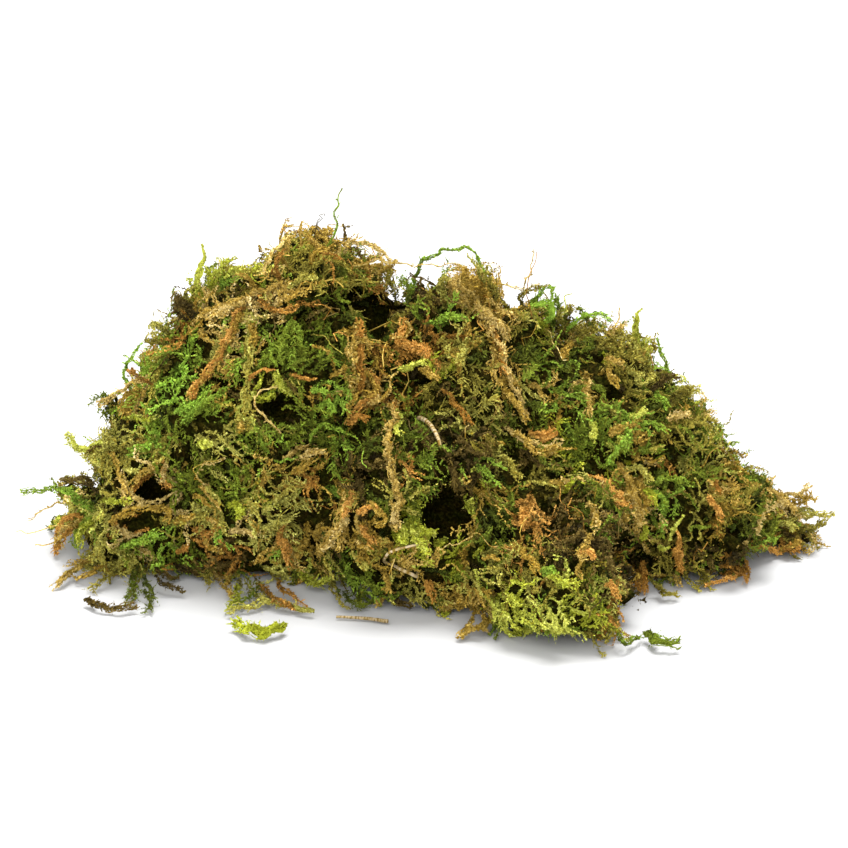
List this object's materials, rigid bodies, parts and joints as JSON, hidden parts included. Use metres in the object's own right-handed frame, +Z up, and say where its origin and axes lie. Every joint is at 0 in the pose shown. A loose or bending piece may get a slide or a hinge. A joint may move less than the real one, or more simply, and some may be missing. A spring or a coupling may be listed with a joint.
{
  "type": "moss clump",
  "caption": "Low heap of tangled dried sheet moss, green to rusty brown, with loose fronds, stems and twigs, and shed scraps round its foot.",
  "frame": {"origin": "middle of the clump's outline on the ground it rests on", "axes": "+X along the clump's length, to the right as pictured; +Y away from the viewer; +Z up"},
  "size_m": [0.3068, 0.2056, 0.1369],
  "materials": {
    "olive_moss": "dry, matte, crinkled",
    "green_moss": "dry, matte, leafy",
    "lime_moss": "dry, matte, translucent at the tips",
    "tan_moss": "dry, matte, fibrous",
    "rust_moss": "dry, matte, fibrous",
    "dark_moss": "dry, matte, fibrous",
    "bark": "raw bark"
  },
  "bodies": {
    "root": {"moss_mound": "olive_moss", "upright_sprig": "green_moss", "peak_curl": "tan_moss", "peak_branch": "tan_moss", "peak_spray": "tan_moss", "ridge_frond": "tan_moss", "pale_horn": "lime_moss", "pale_fringe": "lime_moss", "hooked_sprig": "green_moss", "bare_stem": "tan_moss", "arched_sprig": "green_moss", "crest_stem": "dark_moss", "crest_runner": "tan_moss", "crest_hook": "green_moss", "crest_thread": "tan_moss", "crest_leaf": "green_moss", "slope_sprig": "green_moss", "slope_stub": "tan_moss", "slope_horn": "lime_moss", "slope_needle": "green_moss", "slope_leaf": "olive_moss", "left_sprig": "green_moss", "left_tan_frond": "tan_moss", "left_leaf": "lime_moss", "left_green_tail": "green_moss", "left_dark_frond": "dark_moss", "left_tan_tail": "tan_moss", "left_brush": "rust_moss", "left_green_hook": "green_moss", "right_tan_tip": "tan_moss", "right_olive_tip": "olive_moss", "right_arc": "tan_moss", "right_low_frond": "rust_moss", "right_foot_fork": "rust_moss", "branching_frond": "tan_moss", "trailing_frond": "rust_moss", "olive_trail": "olive_moss", "green_arch": "green_moss", "ladder_frond": "rust_moss", "looped_frond": "rust_moss", "thread_and_curl": "rust_moss", "crest_gold_frond": "tan_moss", "long_gold_frond": "tan_moss", "bright_trail": "green_moss", "bare_thread": "tan_moss", "bare_loop": "tan_moss", "pale_trail": "tan_moss", "grey_twig": "bark", "forked_twig": "bark", "crossed_frond": "tan_moss", "right_gold_curl": "tan_moss", "flat_gold_frond": "tan_moss", "rust_strip": "rust_moss", "foot_stub": "rust_moss", "brown_scrap": "dark_moss", "lime_scrap": "lime_moss", "foot_strand": "olive_moss", "twig_scrap": "bark", "right_scrap": "green_moss"}
  },
  "joints": []
}
